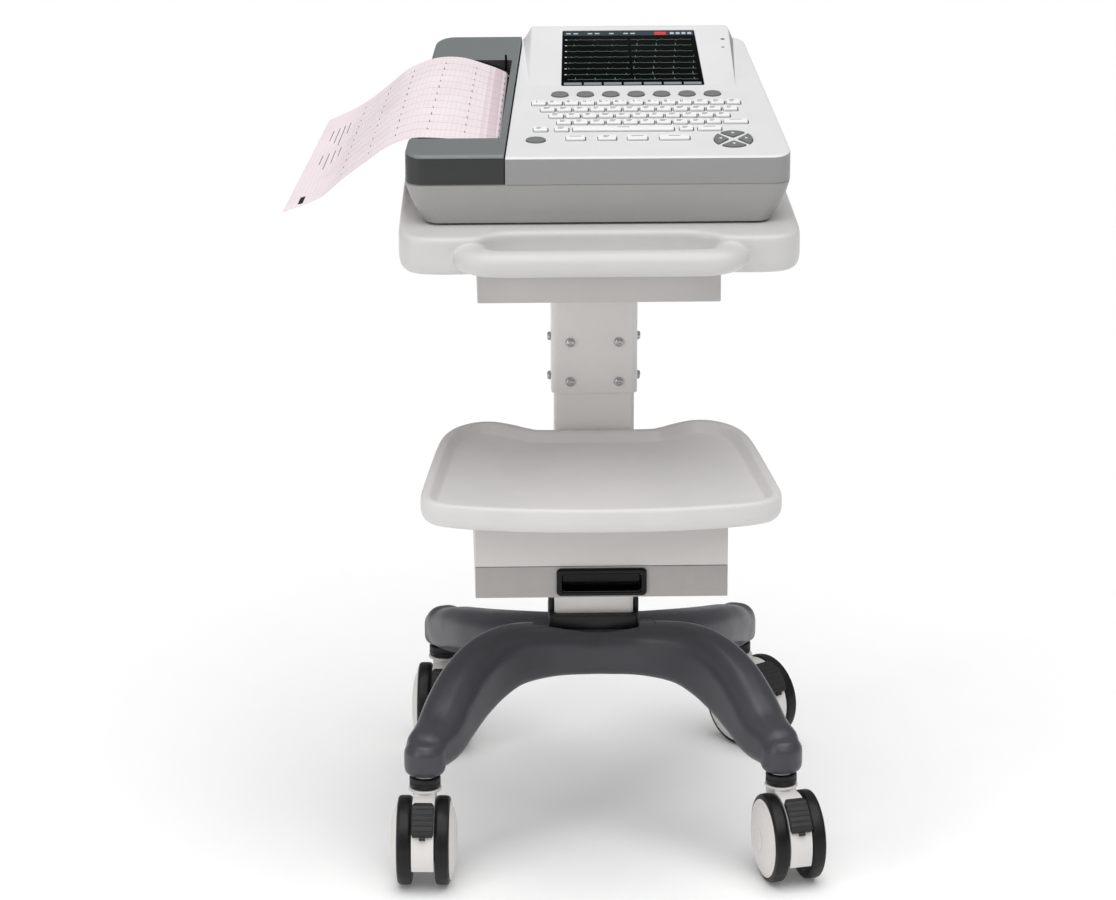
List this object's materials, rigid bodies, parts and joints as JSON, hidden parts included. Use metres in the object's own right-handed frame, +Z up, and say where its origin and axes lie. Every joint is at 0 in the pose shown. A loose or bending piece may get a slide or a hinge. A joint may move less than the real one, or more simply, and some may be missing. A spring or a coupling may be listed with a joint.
{
  "type": "ECG machine on trolley",
  "caption": "Electrocardiograph with screen, keyboard and side recorder on a four-caster hospital trolley with a handled top board, lower tray and drawer.",
  "frame": {"origin": "on the floor under the column's axis", "axes": "+Z up, -Y towards the user at the front, +X to the user's right"},
  "size_m": [0.597, 0.554, 0.8852],
  "materials": {
    "white_abs": "satin moulded",
    "case_white": "fine moulded texture",
    "board_white": "fine moulded texture",
    "tray_white": "fine moulded texture",
    "casing_grey": "gloss moulded",
    "screen_black": "gloss",
    "key_white": "moulded silicone",
    "key_grey": "moulded silicone",
    "column_paint": "powder coat",
    "drawer_paint": "powder coat",
    "base_slate": "textured powder coat",
    "steel_screw": "plated",
    "black_plastic": "moulded",
    "black_gloss": "gloss",
    "caster_white": "moulded",
    "tyre_black": "moulded",
    "recording_paper": "uncoated, printed grid",
    "circuit_board": "laminate",
    "head_metal": "milled",
    "roller_rubber": "ground"
  },
  "bodies": {
    "trolley": {"front_leg_arch": "base_slate", "rear_leg_arch": "base_slate", "column_socket": "black_plastic", "column_tube": "column_paint", "column_sleeve": "column_paint", "sleeve_screw_1": "steel_screw", "sleeve_screw_2": "steel_screw", "sleeve_screw_3": "steel_screw", "sleeve_screw_4": "steel_screw", "sleeve_cross_bolt_lower": "steel_screw", "sleeve_cross_bolt_upper": "steel_screw", "top_bracket": "column_paint", "top_board": "board_white", "push_handle": "board_white", "lower_tray": "tray_white", "drawer_housing": "drawer_paint", "lower_case": "case_white", "top_shell": "white_abs", "lcd_module": "screen_black", "paper_stack": "recording_paper", "print_head": "head_metal", "main_board": "circuit_board", "caster_front_left_stem": "black_plastic", "caster_front_right_stem": "black_plastic", "caster_rear_left_stem": "black_plastic", "caster_rear_right_stem": "black_plastic"},
    "drawer": {"drawer": "drawer_paint", "drawer_pull": "black_gloss"},
    "recorder": {"recorder_casing": "casing_grey", "paper_printout": "recording_paper"},
    "platen": {"platen_roller": "roller_rubber"},
    "keypad": {"alphanumeric_keypad": "key_white"},
    "power": {"power_key": "key_grey"},
    "arrow_up": {"arrow_key_up": "key_grey"},
    "arrow_right": {"arrow_key_right": "key_grey"},
    "arrow_down": {"arrow_key_down": "key_grey"},
    "arrow_left": {"arrow_key_left": "key_grey"},
    "soft_1": {"soft_key_1": "key_grey"},
    "soft_2": {"soft_key_2": "key_grey"},
    "soft_3": {"soft_key_3": "key_grey"},
    "soft_4": {"soft_key_4": "key_grey"},
    "soft_5": {"soft_key_5": "key_grey"},
    "soft_6": {"soft_key_6": "key_grey"},
    "soft_7": {"soft_key_7": "key_grey"},
    "caster_front_left_swivel": {"caster_front_left_housing": "caster_white"},
    "caster_front_left_wheel_left": {"caster_front_left_wheel_left": "tyre_black"},
    "caster_front_left_wheel_right": {"caster_front_left_wheel_right": "tyre_black"},
    "caster_front_left_pedal": {"caster_front_left_brake_pedal": "black_plastic"},
    "caster_front_right_swivel": {"caster_front_right_housing": "caster_white"},
    "caster_front_right_wheel_left": {"caster_front_right_wheel_left": "tyre_black"},
    "caster_front_right_wheel_right": {"caster_front_right_wheel_right": "tyre_black"},
    "caster_front_right_pedal": {"caster_front_right_brake_pedal": "black_plastic"},
    "caster_rear_left_swivel": {"caster_rear_left_housing": "caster_white"},
    "caster_rear_left_wheel_left": {"caster_rear_left_wheel_left": "tyre_black"},
    "caster_rear_left_wheel_right": {"caster_rear_left_wheel_right": "tyre_black"},
    "caster_rear_left_pedal": {"caster_rear_left_brake_pedal": "black_plastic"},
    "caster_rear_right_swivel": {"caster_rear_right_housing": "caster_white"},
    "caster_rear_right_wheel_left": {"caster_rear_right_wheel_left": "tyre_black"},
    "caster_rear_right_wheel_right": {"caster_rear_right_wheel_right": "tyre_black"},
    "caster_rear_right_pedal": {"caster_rear_right_brake_pedal": "black_plastic"}
  },
  "joints": [
    {"name": "drawer_slide", "type": "slide", "parent": "trolley", "child": "drawer", "axis": [0, -1, 0], "range_m": [0, 0.18]},
    {"name": "recorder_slide", "type": "slide", "parent": "trolley", "child": "recorder", "axis": [-1, 0, 0], "range_m": [0, 0.1]},
    {"name": "platen_turn", "type": "hinge", "parent": "recorder", "child": "platen", "pos_m": [-0.114, 0, 0.7957], "axis": [0, 1, 0], "continuous": true},
    {"name": "keypad_press", "type": "slide", "parent": "trolley", "child": "keypad", "axis": [0, 0.1513, -0.9885], "range_m": [0, 0.001], "stiffness_N_per_m": 2000},
    {"name": "power_press", "type": "slide", "parent": "trolley", "child": "power", "axis": [0, 0.1513, -0.9885], "range_m": [0, 0.0012], "stiffness_N_per_m": 800},
    {"name": "arrow_up_press", "type": "slide", "parent": "trolley", "child": "arrow_up", "axis": [0, 0.1513, -0.9885], "range_m": [0, 0.0012], "stiffness_N_per_m": 800},
    {"name": "arrow_right_press", "type": "slide", "parent": "trolley", "child": "arrow_right", "axis": [0, 0.1513, -0.9885], "range_m": [0, 0.0012], "stiffness_N_per_m": 800},
    {"name": "arrow_down_press", "type": "slide", "parent": "trolley", "child": "arrow_down", "axis": [0, 0.1513, -0.9885], "range_m": [0, 0.0012], "stiffness_N_per_m": 800},
    {"name": "arrow_left_press", "type": "slide", "parent": "trolley", "child": "arrow_left", "axis": [0, 0.1513, -0.9885], "range_m": [0, 0.0012], "stiffness_N_per_m": 800},
    {"name": "soft_1_press", "type": "slide", "parent": "trolley", "child": "soft_1", "axis": [0, 0.1513, -0.9885], "range_m": [0, 0.0012], "stiffness_N_per_m": 800},
    {"name": "soft_2_press", "type": "slide", "parent": "trolley", "child": "soft_2", "axis": [0, 0.1513, -0.9885], "range_m": [0, 0.0012], "stiffness_N_per_m": 800},
    {"name": "soft_3_press", "type": "slide", "parent": "trolley", "child": "soft_3", "axis": [0, 0.1513, -0.9885], "range_m": [0, 0.0012], "stiffness_N_per_m": 800},
    {"name": "soft_4_press", "type": "slide", "parent": "trolley", "child": "soft_4", "axis": [0, 0.1513, -0.9885], "range_m": [0, 0.0012], "stiffness_N_per_m": 800},
    {"name": "soft_5_press", "type": "slide", "parent": "trolley", "child": "soft_5", "axis": [0, 0.1513, -0.9885], "range_m": [0, 0.0012], "stiffness_N_per_m": 800},
    {"name": "soft_6_press", "type": "slide", "parent": "trolley", "child": "soft_6", "axis": [0, 0.1513, -0.9885], "range_m": [0, 0.0012], "stiffness_N_per_m": 800},
    {"name": "soft_7_press", "type": "slide", "parent": "trolley", "child": "soft_7", "axis": [0, 0.1513, -0.9885], "range_m": [0, 0.0012], "stiffness_N_per_m": 800},
    {"name": "caster_front_left_swivel_turn", "type": "hinge", "parent": "trolley", "child": "caster_front_left_swivel", "pos_m": [-0.1945, -0.2, 0], "axis": [0, 0, 1], "continuous": true},
    {"name": "caster_front_left_wheel_left_spin", "type": "hinge", "parent": "caster_front_left_swivel", "child": "caster_front_left_wheel_left", "pos_m": [-0.19602, -0.22896, 0.05], "axis": [0.9986, -0.0523, 0], "continuous": true},
    {"name": "caster_front_left_wheel_right_spin", "type": "hinge", "parent": "caster_front_left_swivel", "child": "caster_front_left_wheel_right", "pos_m": [-0.19602, -0.22896, 0.05], "axis": [0.9986, -0.0523, 0], "continuous": true},
    {"name": "caster_front_left_pedal_lift", "type": "hinge", "parent": "caster_front_left_swivel", "child": "caster_front_left_pedal", "pos_m": [-0.19679, -0.24365, 0.0981], "axis": [-0.9986, 0.0523, 0], "range_deg": [0, 18]},
    {"name": "caster_front_right_swivel_turn", "type": "hinge", "parent": "trolley", "child": "caster_front_right_swivel", "pos_m": [0.204, -0.2, 0], "axis": [0, 0, 1], "continuous": true},
    {"name": "caster_front_right_wheel_left_spin", "type": "hinge", "parent": "caster_front_right_swivel", "child": "caster_front_right_wheel_left", "pos_m": [0.21102, -0.22814, 0.05], "axis": [0.9703, 0.2419, 0], "continuous": true},
    {"name": "caster_front_right_wheel_right_spin", "type": "hinge", "parent": "caster_front_right_swivel", "child": "caster_front_right_wheel_right", "pos_m": [0.21102, -0.22814, 0.05], "axis": [0.9703, 0.2419, 0], "continuous": true},
    {"name": "caster_front_right_pedal_lift", "type": "hinge", "parent": "caster_front_right_swivel", "child": "caster_front_right_pedal", "pos_m": [0.21457, -0.24241, 0.0981], "axis": [-0.9703, -0.2419, 0], "range_deg": [0, 18]},
    {"name": "caster_rear_left_swivel_turn", "type": "hinge", "parent": "trolley", "child": "caster_rear_left_swivel", "pos_m": [-0.17, 0.217, 0], "axis": [0, 0, 1], "continuous": true},
    {"name": "caster_rear_left_wheel_left_spin", "type": "hinge", "parent": "caster_rear_left_swivel", "child": "caster_rear_left_wheel_left", "pos_m": [-0.17152, 0.18804, 0.05], "axis": [0.9986, -0.0523, 0], "continuous": true},
    {"name": "caster_rear_left_wheel_right_spin", "type": "hinge", "parent": "caster_rear_left_swivel", "child": "caster_rear_left_wheel_right", "pos_m": [-0.17152, 0.18804, 0.05], "axis": [0.9986, -0.0523, 0], "continuous": true},
    {"name": "caster_rear_left_pedal_lift", "type": "hinge", "parent": "caster_rear_left_swivel", "child": "caster_rear_left_pedal", "pos_m": [-0.17229, 0.17335, 0.0981], "axis": [-0.9986, 0.0523, 0], "range_deg": [0, 18]},
    {"name": "caster_rear_right_swivel_turn", "type": "hinge", "parent": "trolley", "child": "caster_rear_right_swivel", "pos_m": [0.178, 0.217, 0], "axis": [0, 0, 1], "continuous": true},
    {"name": "caster_rear_right_wheel_left_spin", "type": "hinge", "parent": "caster_rear_right_swivel", "child": "caster_rear_right_wheel_left", "pos_m": [0.19585, 0.19415, 0.05], "axis": [0.788, 0.6157, 0], "continuous": true},
    {"name": "caster_rear_right_wheel_right_spin", "type": "hinge", "parent": "caster_rear_right_swivel", "child": "caster_rear_right_wheel_right", "pos_m": [0.19585, 0.19415, 0.05], "axis": [0.788, 0.6157, 0], "continuous": true},
    {"name": "caster_rear_right_pedal_lift", "type": "hinge", "parent": "caster_rear_right_swivel", "child": "caster_rear_right_pedal", "pos_m": [0.20491, 0.18256, 0.0981], "axis": [-0.788, -0.6157, 0], "range_deg": [0, 18]}
  ]
}
